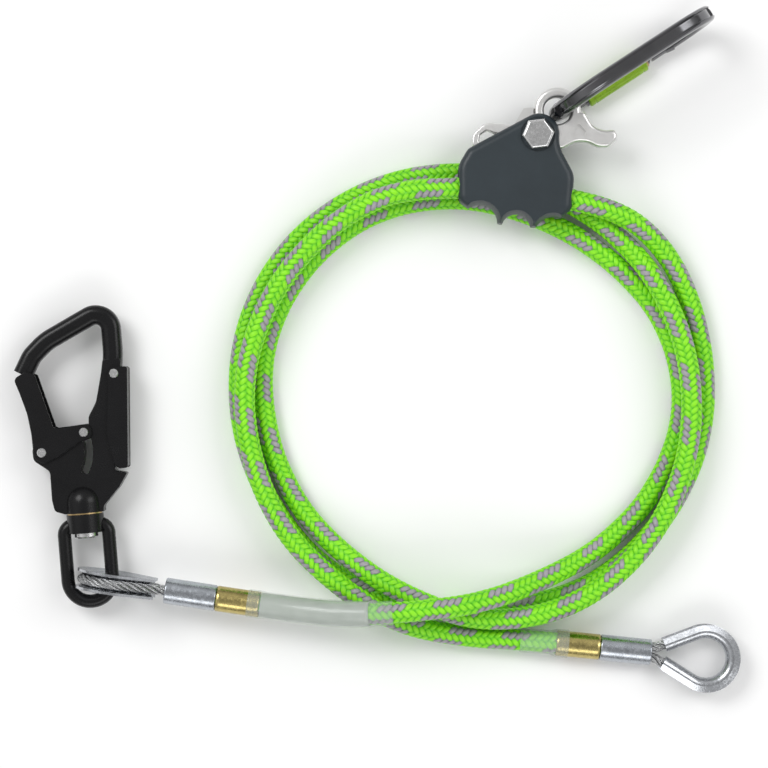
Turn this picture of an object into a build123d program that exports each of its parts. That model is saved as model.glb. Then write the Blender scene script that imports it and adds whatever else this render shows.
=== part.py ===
from build123d import *
import os
from math import asin, atan2, cos, degrees, hypot, pi, radians, sin, sqrt, tan

# Rope grab on a coiled wire-core lanyard, lying on the floor: the grab's shell and cam ride on
# the rope, a locking carabiner hangs in the cam's eye, and a swivel snap hook is on the rope's
# left eye. +Z is up, +X and +Y lie on the floor, and the origin is on the floor under the middle
# of the hardware (hook, grab and carabiner). Millimetres.

# ---------------------------------------------------------------- driving dimensions
slip = 0.3              # gap between pieces that only pass each other
running_fit = 0.05      # radial gap of a hinge pin in its hole

rope_d = 13.0           # braided cover over the wire core
wire_d = 6.0            # wire rope core
cover_bore_gap = 0.05

swage_d = 15.4
swage_length = 30.5
brass_length = 26.0
brass_wall = 1.0
label_wall = 0.7
label_length = 66.0
shrink_wall = 0.8
shrink_length_left = 88.0
shrink_length_right = 29.0
shrink_seat = 7.0       # how far a heat shrink reaches onto the brass sleeve

thimble_bend = 16.5     # radius of the wire's centreline round the tip of an eye
thimble_reach = 33.0    # from the swage's face to the centre of that bend
thimble_sheet = 1.5
thimble_flange = 3.5    # how far the flanges stand beyond the wire's centreline
thimble_width = 11.8

shell_width = 21.0
channel_gap = 0.8       # between the rope and the shell's channel
cheek_gap = 0.6         # between the cam and each cheek
bolt_x, bolt_y = 13.7, 34.1
bolt_d = 8.0
bolt_head_af = 16.6
bolt_head_h = 5.2
shell_head_r = 12.2
cam_radius = 22.0
cam_throw = 7.0         # from the bolt to the centre of the cam's round
cam_rest_angle = -115.0
lever_t = 11.0
eye_x, eye_y = 24.1, 49.6
eye_hole_r = 8.1
eye_ring_w = 5.8

biner_bar_d = 9.6
biner_length = 112.0
biner_spine_h = 54.0    # height of the spine's centreline above the floor
biner_gate_h = 7.2      # height of the gate's centreline
biner_heading = 33.1    # degrees from +X
biner_gate_d = 9.0
biner_sleeve_d = 14.4
biner_sleeve_length = 41.0

hook_t = 13.0           # thickness of the hook's forging
hook_bar_w = 11.5
plate_t = 1.6           # gate and lock lever sheet
plate_gap = 0.3
rivet_d = 4.0
ring_bar_d = 8.0
ring_half_w = 13.2
ring_length = 52.0
stem_d = 9.0
collar_d = 22.0

# ---------------------------------------------------------------- places
coil_x, coil_y = 62.925, -53.561     # middle of the coil on the floor


def around_coil(angle, radius, height):
    """A point given by its bearing and distance from the coil's middle, and its height."""
    return Vector(
        coil_x + radius * cos(radians(angle)),
        coil_y + radius * sin(radians(angle)),
        height,
    )


def frame_at(point, heading, height_axis=False):
    """A plane whose X runs along the heading, with its Z up, or its Y up when height_axis is set."""
    along = Vector(cos(radians(heading)), sin(radians(heading)), 0)
    normal = along.cross(Vector(0, 0, 1)) if height_axis else Vector(0, 0, 1)
    return Plane(origin=point, x_dir=along, z_dir=normal)


# The rope's route, as (bearing, distance, height) from the coil's middle. Each turn runs
# anticlockwise: tail to the hook, inner turn, middle turn, the straight pass through the grab on
# the last turn, and the tail to the free eye.
tail_to_hook = [
    (218.1, 190.2, 20.3), (228.3, 165.3, 20.3), (241.6, 143.9, 32.8), (256.8, 127.0, 37.2),
    (273.6, 119.5, 34.0), (293.2, 115.6, 19.0), (312.0, 119.5, 7.0),
]
inner_turn = [
    (334, 125.6, 6.5), (358, 131.7, 6.5), (382, 128.6, 6.5), (406, 120.5, 6.5), (430, 118.2, 6.5),
    (454, 123.0, 6.5), (478, 127.4, 6.5), (502, 128.1, 6.5), (526, 127.8, 6.5), (550, 122.8, 6.5),
    (572, 120.4, 6.5), (591, 118.5, 13.0), (611, 122.2, 20.6), (634, 133.5, 20.0), (658, 139.2, 19.8),
]
middle_turn = [
    (682, 138.0, 19.8), (706, 136.1, 19.8), (729, 134.0, 20.0), (750, 133.2, 19.0), (768, 133.6, 8.5),
    (787, 134.2, 6.5), (808, 137.6, 6.5), (832, 140.8, 6.5), (856, 142.8, 6.5), (880, 142.4, 6.5),
    (904, 139.1, 6.5), (928, 135.4, 6.5), (952, 134.2, 6.5), (976, 128.2, 6.5), (1000, 128.0, 6.5),
    (1024, 135.4, 6.5),
]
outer_turn = [
    (1048, 139.0, 6.5), (1072, 143.9, 6.5), (1096, 146.0, 6.5), (1118, 149.9, 12.0),
    (1136.5, 142.0, 24.0), (1183.7, 132.5, 24.0), (1206, 133.7, 20.6), (1230, 134.3, 19.9),
    (1254, 135.8, 19.9), (1276, 134.4, 19.9), (1296, 135.0, 20.2), (1314, 134.5, 20.2),
]
tail_to_eye = [(1332, 139.6, 15.8), (1348.8, 141.5, 8.8), (1365.2, 148.6, 8.8), (1378.1, 167.2, 8.8)]
grab_pass = 4           # the outer turn's point where the straight pass through the grab starts

stations = tail_to_hook + inner_turn + middle_turn + outer_turn + tail_to_eye
route_points = [around_coil(*station) for station in stations]
channel_right = around_coil(*outer_turn[grab_pass])
channel_left = around_coil(*outer_turn[grab_pass + 1])


def bend_radii(points):
    """For each corner of a route, the largest arc that leaves a tenth of its shorter run straight."""
    radii = []
    for before, here, after in zip(points, points[1:], points[2:]):
        into, out = here - before, after - here
        turn = radians(into.get_angle(out))
        radii.append(0.45 * min(into.length, out.length) / tan(turn / 2))
    return radii


route_radii = bend_radii(route_points)
with BuildLine() as route:
    FilletPolyline(*route_points, radius=route_radii)
route_wire = route.wires()[0]
route_length = route_wire.length
print("rope bends, radius in mm:", [round(r) for r in route_radii])
print("rope length in mm:", round(route_length, 1))

left_out = route_points[0] - route_points[1]
right_out = route_points[-1] - route_points[-2]
left_heading = degrees(atan2(left_out.Y, left_out.X))
right_heading = degrees(atan2(right_out.Y, right_out.X))
left_end = frame_at(route_points[0], left_heading, height_axis=True)
right_end = frame_at(route_points[-1], right_heading)

channel_run = channel_right - channel_left
grab_heading = degrees(atan2(channel_run.Y, channel_run.X))
grab = frame_at((channel_left + channel_right) * 0.5, grab_heading)

eye_centre = grab.from_local_coords(Vector(eye_x + 0.2, eye_y - 1.1, 0))
biner_foot = Vector(eye_centre.X, eye_centre.Y, 0)
biner_along = Vector(cos(radians(biner_heading)), sin(radians(biner_heading)), 0)
biner_up = Vector(0, 0, 1)
biner = Plane(origin=biner_foot, x_dir=biner_along, z_dir=biner_along.cross(biner_up))

hook_z = 14.0
hook_lean = 4.6         # degrees that the hook's stem leans to the left
hook = frame_at(Vector(coil_x - 227.9, coil_y - 67.8, hook_z), hook_lean)

os.makedirs("parts", exist_ok=True)


def finish(builder, label):
    """Label a finished piece and write it."""
    builder.part.label = label
    export_step(builder.part, f"parts/{label}.step")


def across(plane, x, y, z=0):
    """The plane moved to one of its own points."""
    return Plane(origin=plane.from_local_coords(Vector(x, y, z)), x_dir=plane.x_dir, z_dir=plane.z_dir)


def start_of(path):
    """The plane square to a path at its start."""
    return Plane(origin=path @ 0, z_dir=path % 0)


def spring(plane, radius, wire, pitch, height, label):
    """A round-wire coil spring that stands on the plane."""
    with BuildPart() as coil:
        with BuildLine():
            Helix(pitch=pitch, height=height, radius=radius, center=plane.origin, direction=plane.z_dir)
        helix = coil.pending_edges[0]
        with BuildSketch(start_of(helix)):
            Circle(wire / 2)
        sweep(path=helix)
    finish(coil, label)


# ---------------------------------------------------------------- rope
# The braided cover is a tube over the wire core. Both are cut into stretches that meet face to
# face, so that each turn of the coil is a piece of its own.
cover_bore = wire_d / 2 + cover_bore_gap
stretches = 6
for number in range(stretches):
    stretch = route_wire.trim(number / stretches, (number + 1) / stretches)
    with BuildPart() as cover:
        with BuildSketch(start_of(stretch)):
            Circle(rope_d / 2)
            Circle(cover_bore, mode=Mode.SUBTRACT)
        sweep(path=stretch)
    finish(cover, f"rope_cover_{number + 1}")
    section_area = pi * ((rope_d / 2) ** 2 - cover_bore**2)
    print(f"rope_cover_{number + 1}: volume {cover.part.volume:.0f}, section x length",
          f"{section_area * stretch.length:.0f}")
    with BuildPart() as core:
        with BuildSketch(start_of(stretch)):
            Circle(wire_d / 2)
        sweep(path=stretch)
    finish(core, f"wire_core_{number + 1}")


def sleeve_on_route(first, length, bore, wall, label):
    """A sleeve round the rope, along a stretch of its route."""
    stretch = route_wire.trim(first / route_length, (first + length) / route_length)
    with BuildPart() as sleeve:
        with BuildSketch(start_of(stretch)):
            Circle(bore + wall)
            Circle(bore, mode=Mode.SUBTRACT)
        sweep(path=stretch)
    finish(sleeve, label)


brass_bore = rope_d / 2 + 0.1
label_bore = rope_d / 2 + 0.1
brass_r = brass_bore + brass_wall
shrink_bore = brass_r + 0.1
sleeve_on_route(0.3, brass_length, brass_bore, brass_wall, "crimp_sleeve_left")
sleeve_on_route(brass_length + 1.0, label_length, label_bore, label_wall, "label_sleeve")
shrink_start = brass_length - shrink_seat
sleeve_on_route(shrink_start, shrink_length_left, shrink_bore, shrink_wall, "heat_shrink_left")
sleeve_on_route(route_length - brass_length - 0.3, brass_length, brass_bore, brass_wall, "crimp_sleeve_right")
shrink_first = route_length - shrink_start - shrink_length_right
sleeve_on_route(shrink_first, shrink_length_right, shrink_bore, shrink_wall, "heat_shrink_right")


# ---------------------------------------------------------------- wire eyes
# Each end of the wire passes through its swage, round a thimble and back into the swage. The end
# frame has its origin at the swage's rope face and its X towards the eye's tip.
leg_gap = wire_d / 2 + 0.05      # each leg's distance from the axis inside the swage
eye_foot = swage_length + 2.0    # where the legs part
bend_x = swage_length + thimble_reach
foot_to_bend = hypot(bend_x - eye_foot, leg_gap)
leg_angle = asin(thimble_bend / foot_to_bend) - atan2(leg_gap, bend_x - eye_foot)
leg_run = sqrt(foot_to_bend**2 - thimble_bend**2)
touch_x = eye_foot + leg_run * cos(leg_angle)
touch_y = leg_gap + leg_run * sin(leg_angle)
thimble_start = 6.0              # along the leg from the swage, where the thimble's sheet begins
thimble_x = eye_foot + thimble_start * cos(leg_angle)
thimble_y = leg_gap + thimble_start * sin(leg_angle)
tip_x = bend_x + thimble_bend
corner_y = leg_gap + (tip_x - eye_foot) * tan(leg_angle)
foot_r = 10.0                    # bend of each leg where they part


def eye_paths(end):
    """The centreline of the wire round the eye, and of the stretch that the thimble lines."""
    with BuildLine(end) as wire_line:
        FilletPolyline(
            (0.5, leg_gap), (eye_foot, leg_gap), (tip_x, corner_y),
            (tip_x, -corner_y), (eye_foot, -leg_gap), (0.5, -leg_gap),
            radius=[foot_r, thimble_bend - 0.05, thimble_bend - 0.05, foot_r],
        )
    with BuildLine(end) as thimble_line:
        Line((thimble_x, thimble_y), (touch_x, touch_y))
        ThreePointArc((touch_x, touch_y), (tip_x, 0), (touch_x, -touch_y))
        Line((touch_x, -touch_y), (thimble_x, -thimble_y))
    return wire_line.wires()[0], thimble_line.wires()[0]


def wire_eye(end, side):
    """The wire's eye, its thimble and the swage that holds its legs."""
    wire_path, thimble_path = eye_paths(end)
    with BuildPart() as wire:
        with BuildSketch(start_of(wire_path)):
            Circle(wire_d / 2)
        sweep(path=wire_path)
    finish(wire, f"wire_eye_{side}")

    groove_r = wire_d / 2 + 0.3
    base_r = groove_r + thimble_sheet
    half_out = thimble_width / 2
    half_in = half_out - thimble_sheet
    section = Plane(origin=thimble_path @ 0, x_dir=end.z_dir, z_dir=thimble_path % 0)
    outward = 1 if section.y_dir.dot(end.y_dir) > 0 else -1
    lip = outward * thimble_flange
    with BuildPart() as thimble:
        with BuildSketch(section):
            with BuildLine():
                ThreePointArc((-base_r, 0), (0, -outward * base_r), (base_r, 0))
                Line((base_r, 0), (half_out, lip))
                Line((half_out, lip), (half_in, lip))
                Line((half_in, lip), (groove_r, 0))
                ThreePointArc((groove_r, 0), (0, -outward * groove_r), (-groove_r, 0))
                Line((-groove_r, 0), (-half_in, lip))
                Line((-half_in, lip), (-half_out, lip))
                Line((-half_out, lip), (-base_r, 0))
            make_face()
        sweep(path=thimble_path)
    finish(thimble, f"thimble_{side}")

    with BuildPart() as swage:
        with BuildSketch(Plane(origin=end.origin, x_dir=end.y_dir, z_dir=end.x_dir)):
            Circle(swage_d / 2)
            SlotCenterToCenter(2 * leg_gap, wire_d + 0.1, mode=Mode.SUBTRACT)
        extrude(amount=swage_length)
        rims = swage.edges().filter_by(GeomType.CIRCLE).filter_by(lambda e: abs(e.radius - swage_d / 2) < 0.01)
        fillet(rims, 0.8)
    finish(swage, f"swage_sleeve_{side}")


wire_eye(left_end, "left")
wire_eye(right_end, "right")


# ---------------------------------------------------------------- rope grab
# The grab frame has its origin on the rope's axis in the middle of the shell, X along the rope
# and Y towards the bolt. The shell is a U: two cheeks joined by a fold under the rope.
channel_r = rope_d / 2 + channel_gap
half_shell = shell_width / 2
bolt = across(grab, bolt_x, bolt_y)
head_recess = 1.2
left_slope = radians(33.5)       # slope of the shell's upper left edge
right_edge = bolt_x + shell_head_r
top_corner_y = bolt_y + shell_head_r / cos(left_slope) + shell_head_r * tan(left_slope)
low_left_x = -26.5
low_left_y = top_corner_y - (right_edge - low_left_x) * tan(left_slope)
shell_outline = [
    (right_edge, top_corner_y), (right_edge + 1.0, 28.5), (37.6, 12.5), (37.8, -8.0),
    (30.5, -14.5), (19.0, -20.0), (-3.5, -20.0), (-22.0, -12.8), (-29.2, -9.0), (-31.3, 12.0),
    (low_left_x, low_left_y),
]
shell_rounds = [shell_head_r - 0.01, 20, 14, 6, 4, 3, 3, 3, 6, 14, 7]
finger_grips = [(-15.5, -20.4, 10.5), (6.3, -22.0, 8.5), (28.5, -24.0, 11.0)]
grip_flare = 2.6                 # how much wider a finger grip is at the cheeks than at the fold

with BuildPart() as shell:
    with BuildSketch(grab):
        with BuildLine():
            FilletPolyline(*shell_outline, radius=shell_rounds, close=True)
        make_face()
    extrude(amount=half_shell, both=True)
    fillet(shell.faces().sort_by(Axis.Z)[-1].edges(), 4.5)
    fillet(shell.faces().sort_by(Axis.Z)[0].edges(), 4.5)
    for grip_x, grip_y, grip_r in finger_grips:
        with BuildSketch(Plane(origin=grab.from_local_coords(Vector(grip_x, grip_y, 0)), x_dir=grab.x_dir,
                               z_dir=-grab.y_dir)):
            with BuildLine():
                Line((0, -half_shell - 1), (grip_r + grip_flare, -half_shell - 1))
                ThreePointArc((grip_r + grip_flare, -half_shell - 1), (grip_r, 0),
                              (grip_r + grip_flare, half_shell + 1))
                Line((grip_r + grip_flare, half_shell + 1), (0, half_shell + 1))
                Line((0, half_shell + 1), (0, -half_shell - 1))
            make_face()
        revolve(axis=Axis(grab.from_local_coords(Vector(grip_x, grip_y, 0)), grab.z_dir), mode=Mode.SUBTRACT)
    # the channel for the rope, open between the cheeks
    with BuildSketch(Plane(origin=grab.origin, x_dir=grab.y_dir, z_dir=grab.x_dir)):
        Circle(channel_r)
        with Locations((40, 0)):
            Rectangle(80, 2 * channel_r)
    extrude(amount=60, both=True, mode=Mode.SUBTRACT)
    # flared mouths for the rope
    for mouth_x, way in ((37.6, -1), (-30.6, 1)):
        mouth = Plane(origin=grab.from_local_coords(Vector(mouth_x, 0, 0)), z_dir=grab.x_dir * way)
        with BuildSketch(mouth):
            Circle(channel_r + 1.8)
        with BuildSketch(mouth.offset(7)):
            Circle(channel_r)
        loft(mode=Mode.SUBTRACT)
    # bolt holes, with a round recess for the head above and for the washer below
    with BuildSketch(bolt):
        Circle(bolt_d / 2 + 0.1)
    extrude(amount=half_shell + 1, both=True, mode=Mode.SUBTRACT)
    with BuildSketch(bolt.offset(half_shell - head_recess)):
        Circle(bolt_head_af / sqrt(3) + 0.6)
    extrude(amount=head_recess + 1, mode=Mode.SUBTRACT)
    with BuildSketch(bolt.offset(-half_shell)):
        Circle(9.0)
    extrude(amount=head_recess, mode=Mode.SUBTRACT)
finish(shell, "grab_shell")

washer_t = 1.2
nut_h = 5.5
nut_top = -half_shell + head_recess - washer_t
with BuildPart() as grab_bolt:
    with BuildSketch(bolt.offset(half_shell - head_recess)):
        RegularPolygon(bolt_head_af / 2, 6, major_radius=False, rotation=12)
    extrude(amount=bolt_head_h)
    fillet(grab_bolt.faces().sort_by(Axis.Z)[-1].edges(), 1.6)
    with BuildSketch(bolt.offset(half_shell - head_recess)):
        Circle(bolt_d / 2)
    extrude(amount=-(2 * half_shell - head_recess + nut_h + 0.5))
    chamfer(grab_bolt.faces().sort_by(Axis.Z)[0].edges(), 0.8)
finish(grab_bolt, "grab_bolt")

with BuildPart() as bolt_washer:
    with BuildSketch(bolt.offset(nut_top)):
        Circle(8.6)
        Circle(bolt_d / 2 + 0.15, mode=Mode.SUBTRACT)
    extrude(amount=washer_t)
    chamfer(bolt_washer.edges().filter_by(GeomType.CIRCLE).sort_by(SortBy.RADIUS)[-2:], 0.2)
finish(bolt_washer, "bolt_washer")

with BuildPart() as lock_nut:
    with BuildSketch(bolt.offset(nut_top)):
        RegularPolygon(6.5, 6, major_radius=False, rotation=5)
        Circle(bolt_d / 2 + 0.02, mode=Mode.SUBTRACT)
    extrude(amount=-nut_h)
    with BuildSketch(bolt.offset(nut_top - nut_h)):
        Circle(6.2)
        Circle(bolt_d / 2 + 0.02, mode=Mode.SUBTRACT)
    extrude(amount=-0.8)
finish(lock_nut, "lock_nut")

# The bushing is clamped between the cheeks, and the cam turns on it.
bushing_r = 6.0
cam_half = channel_r - cheek_gap
with BuildPart() as bushing:
    with BuildSketch(bolt):
        Circle(bushing_r)
        Circle(bolt_d / 2 + 0.05, mode=Mode.SUBTRACT)
    extrude(amount=channel_r - 0.02, both=True)
finish(bushing, "pivot_bushing")

# The cam lever: a round jaw with a saddle for the rope, an eye for the carabiner, a curved
# trigger on the right and an ear on the left that the thumb presses.
cam_angle = radians(cam_rest_angle)
cam_x = bolt_x + cam_throw * cos(cam_angle)
cam_y = bolt_y + cam_throw * sin(cam_angle)
saddle_r = rope_d / 2 + 0.5
saddle_depth = 2.0
saddle_arc = 100.0
jaw_half_w = 15.0
eye_r = eye_hole_r + eye_ring_w
half_lever = lever_t / 2
spring_wire = 1.0
spring_r = 8.4
spring_pocket = 4.0
trigger_outline = [
    (20.0, 26.5), (28.5, 27.0), (36.5, 32.4), (43.5, 33.0), (50.0, 30.3), (56.5, 31.2), (60.6, 36.0),
    (60.2, 42.2), (54.0, 40.4), (46.5, 41.6), (40.0, 50.5), (30.0, 50.5), (18.0, 44.0),
]
trigger_rounds = [2, 12, 10, 12, 10, 4.5, 2.6, 3.2, 8, 9, 3, 3, 3]
ear_outline = [
    (8.0, 24.0), (-5.0, 23.0), (-24.2, 22.4), (-24.4, 31.0), (-17.6, 38.4), (0.0, 39.0), (13.0, 43.0),
]
ear_rounds = [2, 3, 4, 7, 7, 12, 3]
ear_window = [(-20.4, 26.2), (-20.0, 31.2), (-16.2, 34.4), (-7.5, 31.6), (-10.5, 26.8)]

with BuildPart() as cam:
    with BuildSketch(grab):
        with BuildLine():
            FilletPolyline(*trigger_outline, radius=trigger_rounds, close=True)
        make_face()
    extrude(amount=half_lever, both=True)
    fillet(cam.faces().sort_by(Axis.Z)[-1].edges() + cam.faces().sort_by(Axis.Z)[0].edges(), 2.0)
    with BuildPart(mode=Mode.PRIVATE) as ear:
        with BuildSketch(grab):
            with BuildLine():
                FilletPolyline(*ear_outline, radius=ear_rounds, close=True)
            make_face()
        extrude(amount=half_lever, both=True)
        with BuildSketch(grab):
            with BuildLine():
                FilletPolyline(*ear_window, radius=1.2, close=True)
            make_face()
        extrude(amount=half_lever, both=True, mode=Mode.SUBTRACT)
        fillet(ear.faces().sort_by(Axis.Z)[-1].edges() + ear.faces().sort_by(Axis.Z)[0].edges(), 1.0)
    add(ear.part)
    with BuildPart(mode=Mode.PRIVATE) as ring:
        with BuildSketch(grab):
            with Locations((eye_x, eye_y)):
                Circle(eye_r)
        extrude(amount=half_lever, both=True)
        fillet(ring.faces().sort_by(Axis.Z)[-1].edges() + ring.faces().sort_by(Axis.Z)[0].edges(), 2.4)
        with BuildSketch(grab):
            with BuildLine():
                Polyline((8.0, 40.0), (12.6, 51.0), (30.0, 37.4), (22.0, 30.0), close=True)
            make_face()
        extrude(amount=half_lever - 0.4, both=True)
    add(ring.part)
    with BuildSketch(grab):
        with Locations((eye_x, eye_y)):
            Circle(eye_hole_r)
    extrude(amount=half_lever, both=True, mode=Mode.SUBTRACT)
    mouths = cam.edges().filter_by(GeomType.CIRCLE).filter_by(lambda e: abs(e.radius - eye_hole_r) < 0.01)
    fillet(mouths, 1.6)
    # the jaw, as wide as the gap between the cheeks lets it be
    with BuildSketch(grab):
        with Locations((cam_x, cam_y)):
            Circle(cam_radius)
            Rectangle(2 * jaw_half_w, 3 * cam_radius, rotation=cam_rest_angle + 90, mode=Mode.INTERSECT)
        with Locations((eye_x, eye_y)):
            Circle(eye_r + 0.5, mode=Mode.SUBTRACT)
        with Locations((bolt_x, bolt_y)):
            Circle(11.4)
    extrude(amount=cam_half, both=True)
    saddle_start = grab.x_dir.rotate(Axis((0, 0, 0), grab.z_dir), cam_rest_angle - saddle_arc / 2)
    saddle_plane = Plane(origin=grab.from_local_coords(Vector(cam_x, cam_y, 0)), x_dir=saddle_start,
                         z_dir=saddle_start.cross(grab.z_dir))
    with BuildSketch(saddle_plane):
        with Locations((cam_radius - saddle_depth + saddle_r, 0)):
            Circle(saddle_r)
    revolve(axis=Axis(saddle_plane.origin, grab.z_dir), revolution_arc=saddle_arc, mode=Mode.SUBTRACT)
    # the bore, the spring's pocket and a cast hollow beside the trigger
    with BuildSketch(bolt):
        Circle(bushing_r + running_fit)
    extrude(amount=cam_half + 1, both=True, mode=Mode.SUBTRACT)
    with BuildSketch(bolt.offset(-cam_half)):
        Circle(spring_r + spring_wire / 2 + 0.5)
    extrude(amount=spring_pocket, mode=Mode.SUBTRACT)
    for side in (half_lever, -half_lever):
        with BuildSketch(grab.offset(side)):
            with BuildLine():
                FilletPolyline((33.0, 34.5), (41.5, 36.0), (42.5, 38.5), (37.0, 43.5), radius=1.2, close=True)
            make_face()
        extrude(amount=-1.8 if side > 0 else 1.8, mode=Mode.SUBTRACT)
finish(cam, "cam_lever")

spring_turns = 2
spring_pitch = spring_wire + 0.15
spring_low = -cam_half + 0.75
spring(bolt.offset(spring_low), spring_r, spring_wire, spring_pitch, spring_pitch * spring_turns, "cam_spring")


# ---------------------------------------------------------------- carabiner
# The carabiner stands on its gate side. In its frame X runs from the eye to the far end, Y is up
# and Z is across. The bar's centreline is flat in the frame: near bow, spine, far bow, nose.
bar_r = biner_bar_d / 2
near_low_r = 14.0
far_high_r = 22.0
far_low_r = 20.0
biner_span = biner_length - biner_bar_d
bow_h = biner_gate_h + near_low_r
near_high_r = biner_spine_h - bow_h
near_turn = 24.0        # degrees of the upper near bow that stay round
near_end_x = near_high_r * (1 - cos(radians(near_turn)))
near_end_y = bow_h + near_high_r * sin(radians(near_turn))
gate_pin_x = 16.5
tang_t = 4.0
nose_x = 66.4
gate_tip_x = 65.2
nose_boss_r = 5.7
spine_bar_h = 11.0
spine_groove_w = 5.6
spine_groove_depth = 2.4

with BuildLine(biner) as near_line:
    JernArc((near_low_r, biner_gate_h), (-1, 0), near_low_r, -90)
    JernArc((0, bow_h), (0, 1), near_high_r, -near_turn)
with BuildLine(biner) as spine_line:
    JernArc((near_end_x, near_end_y), (sin(radians(near_turn)), cos(radians(near_turn))), near_high_r,
            near_turn - 90)
    Line((near_high_r, biner_spine_h), (biner_span - far_high_r, biner_spine_h))
    JernArc((biner_span - far_high_r, biner_spine_h), (1, 0), far_high_r, -90)
with BuildLine(biner) as nose_line:
    Line((biner_span, biner_spine_h - far_high_r), (biner_span, biner_gate_h + far_low_r))
    JernArc((biner_span, biner_gate_h + far_low_r), (0, -1), far_low_r, -90)

with BuildPart() as biner_body:
    with BuildSketch(start_of(near_line.wires()[0])):
        Circle(bar_r)
    sweep(path=near_line.wires()[0])
    spine_wire = spine_line.wires()[0]
    with BuildSketch(Plane(origin=spine_wire @ 0, x_dir=biner.z_dir, z_dir=spine_wire % 0)):
        RectangleRounded(biner_bar_d, spine_bar_h, 3.2)
        with Locations((0, spine_bar_h / 2), (0, -spine_bar_h / 2)):
            RectangleRounded(spine_groove_w, 2 * spine_groove_depth, 1.0, mode=Mode.SUBTRACT)
    sweep(path=spine_wire)
    nose_wire = nose_line.wires()[0]
    with BuildSketch(Plane(origin=nose_wire @ 0, x_dir=biner.z_dir, z_dir=nose_wire % 0)):
        RectangleRounded(biner_bar_d, biner_bar_d + 0.8, 4.0)
    sweep(path=nose_wire)
    # the round nose that the sleeve slides over, and the boss behind it
    nose_plane = Plane(origin=biner.from_local_coords(Vector(biner_span - far_low_r, biner_gate_h, 0)),
                       x_dir=biner.z_dir, z_dir=-biner.x_dir)
    with BuildSketch(nose_plane):
        Circle(biner_gate_d / 2)
    extrude(amount=biner_span - far_low_r - nose_x)
    with BuildSketch(nose_plane.offset(1.0)):
        Circle(nose_boss_r)
    extrude(amount=5.0, taper=8)
    # the tang that the gate's fork straddles, with the hinge pin's hole
    with BuildSketch(biner):
        with Locations((gate_pin_x, biner_gate_h)):
            Circle(4.2)
        with Locations(((near_low_r - 3 + gate_pin_x) / 2, biner_gate_h)):
            Rectangle(gate_pin_x - near_low_r + 3, 8.4)
    extrude(amount=tang_t / 2, both=True)
    with BuildSketch(biner):
        with Locations((gate_pin_x, biner_gate_h)):
            Circle(1.5 + running_fit)
    extrude(amount=tang_t, both=True, mode=Mode.SUBTRACT)
    # the bar ends square before the gate's rounded fork
    with BuildSketch(biner.offset(tang_t / 2)):
        with Locations((gate_pin_x, biner_gate_h)):
            Circle(5.0)
    extrude(amount=10, mode=Mode.SUBTRACT)
    with BuildSketch(biner.offset(-tang_t / 2)):
        with Locations((gate_pin_x, biner_gate_h)):
            Circle(5.0)
    extrude(amount=-10, mode=Mode.SUBTRACT)
finish(biner_body, "carabiner_body")

gate_r = biner_gate_d / 2
gate_line = across(biner, gate_pin_x, biner_gate_h)
gate_section = Plane(origin=gate_line.origin, x_dir=biner.y_dir, z_dir=biner.x_dir)
fork_depth = 6.0
plunger_r = 1.7
plunger_bore_end = 24.0
with BuildPart() as biner_gate:
    with BuildSketch(gate_section):
        Circle(gate_r)
    extrude(amount=gate_tip_x - gate_pin_x)
    with BuildSketch(gate_section):
        Circle(gate_r)
    extrude(amount=-gate_r)
    with BuildSketch(gate_line):
        Circle(gate_r)
        with Locations((30 + 0.01, 0)):
            Rectangle(60, 2 * gate_r)
    extrude(amount=gate_r, both=True, mode=Mode.INTERSECT)
    with BuildSketch(gate_line):
        with Locations((0, 0)):
            Rectangle(2 * fork_depth, 4 * gate_r)
    extrude(amount=tang_t / 2 + 0.15, both=True, mode=Mode.SUBTRACT)
    with BuildSketch(gate_line):
        Circle(1.5)
    extrude(amount=gate_r, both=True, mode=Mode.SUBTRACT)
    with BuildSketch(gate_section):
        Circle(plunger_r + 0.1)
    extrude(amount=plunger_bore_end, mode=Mode.SUBTRACT)
    tip = biner_gate.faces().sort_by(Axis(gate_line.origin, biner.x_dir))[-1]
    chamfer(tip.edges(), 0.8)
finish(biner_gate, "carabiner_gate")

with BuildPart() as biner_pin:
    with BuildSketch(gate_line):
        Circle(1.48)
    extrude(amount=gate_r - 0.35, both=True)
finish(biner_pin, "carabiner_gate_pin")

with BuildPart() as plunger:
    with BuildSketch(gate_section.offset(4.6)):
        Circle(plunger_r)
    extrude(amount=6.0)
    chamfer(plunger.edges().sort_by(Axis(gate_line.origin, biner.x_dir))[-1], 0.3)
finish(plunger, "gate_plunger")

spring(gate_section.offset(11.3), 1.2, 0.5, 1.5, 12.0, "gate_plunger_spring")

# The threaded bush travels along the gate as the sleeve turns, and carries the sleeve with it.
sleeve_start = 4.6               # from the hinge pin
sleeve_r = biner_sleeve_d / 2
bush_t = 0.9
bush_bore = gate_r + 0.15
bush_r = bush_bore + bush_t
bush_length = 14.0
bush_start = sleeve_start + biner_sleeve_length - bush_length
with BuildPart() as bush:
    with BuildSketch(gate_section.offset(bush_start)):
        Circle(bush_r)
        Circle(bush_bore, mode=Mode.SUBTRACT)
    extrude(amount=bush_length + 1.2)
finish(bush, "sleeve_bush")

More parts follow.
